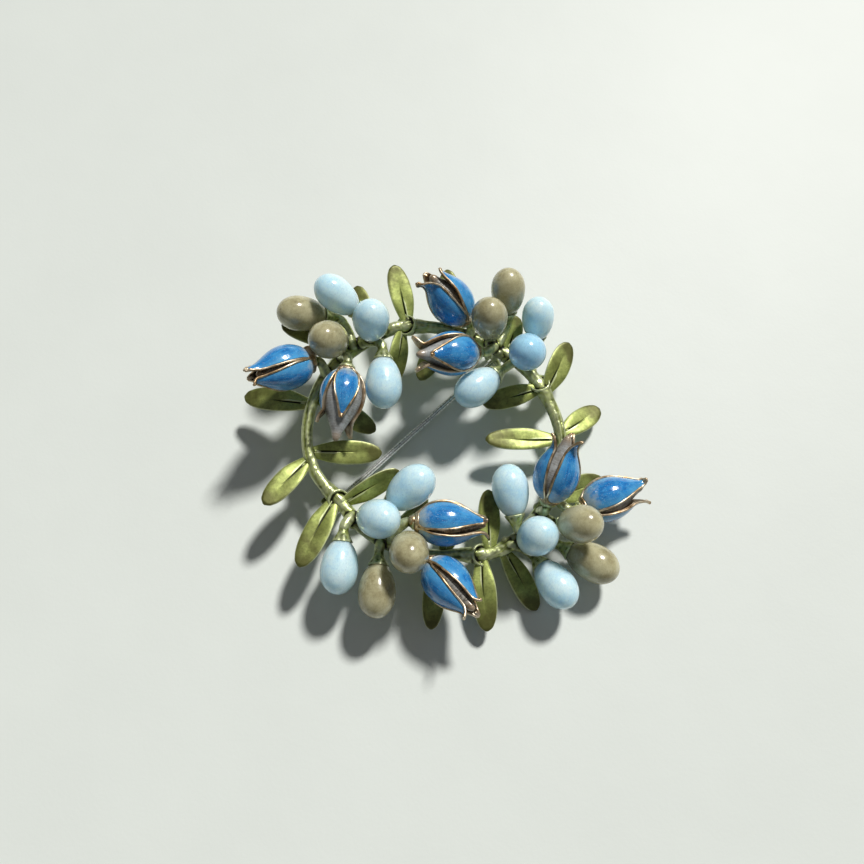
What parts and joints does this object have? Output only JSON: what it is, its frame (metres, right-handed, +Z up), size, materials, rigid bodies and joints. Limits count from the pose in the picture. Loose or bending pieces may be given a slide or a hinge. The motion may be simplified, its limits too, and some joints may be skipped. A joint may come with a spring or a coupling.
{
  "type": "wreath brooch",
  "caption": "Round brooch of leafy stems with egg-shaped beads and enamelled flower buds, fastened by a hinged pin across its back.",
  "frame": {"origin": "middle of the outline on the surface that the brooch lies on", "axes": "+Z up, out of the brooch's face; +Y towards the top of the wreath as worn"},
  "size_m": [0.0552, 0.0496, 0.0172],
  "materials": {
    "green_gold_metal": "satin, green-gold lacquer over cast metal, darker in the crevices",
    "pale_blue_bead": "gloss, opaque",
    "taupe_bead": "gloss, opaque",
    "copper_gold_metal": "hammered, darkened in the hollows",
    "blue_enamel": "gloss, opaque, slightly mottled",
    "steel": "bright wire"
  },
  "bodies": {
    "brooch": {"wreath_frame": "green_gold_metal", "bead_blue_1": "pale_blue_bead", "bead_blue_2": "pale_blue_bead", "bead_blue_3": "pale_blue_bead", "bead_blue_4": "pale_blue_bead", "bead_blue_5": "pale_blue_bead", "bead_blue_6": "pale_blue_bead", "bead_blue_7": "pale_blue_bead", "bead_blue_8": "pale_blue_bead", "bead_blue_9": "pale_blue_bead", "bead_blue_10": "pale_blue_bead", "bead_blue_11": "pale_blue_bead", "bead_blue_12": "pale_blue_bead", "bead_taupe_1": "taupe_bead", "bead_taupe_2": "taupe_bead", "bead_taupe_3": "taupe_bead", "bead_taupe_4": "taupe_bead", "bead_taupe_5": "taupe_bead", "bead_taupe_6": "taupe_bead", "bead_taupe_7": "taupe_bead", "bead_taupe_8": "taupe_bead", "bud_shell_1": "copper_gold_metal", "bud_shell_2": "copper_gold_metal", "bud_shell_3": "copper_gold_metal", "bud_shell_4": "copper_gold_metal", "bud_shell_5": "copper_gold_metal", "bud_shell_6": "copper_gold_metal", "bud_shell_7": "copper_gold_metal", "bud_shell_8": "copper_gold_metal", "bud_enamel_1": "blue_enamel", "bud_enamel_2": "blue_enamel", "bud_enamel_3": "blue_enamel", "bud_enamel_4": "blue_enamel", "bud_enamel_5": "blue_enamel", "bud_enamel_6": "blue_enamel", "bud_enamel_7": "blue_enamel", "bud_enamel_8": "blue_enamel", "hinge_rivet": "steel"},
    "pin": {"pin_stem": "steel"}
  },
  "joints": [
    {"name": "pin_hinge", "type": "hinge", "parent": "brooch", "child": "pin", "pos_m": [-0.015, -0.00759, 0.00122], "axis": [-0.6832, 0.72, 0.1219], "range_deg": [0, 100]}
  ]
}
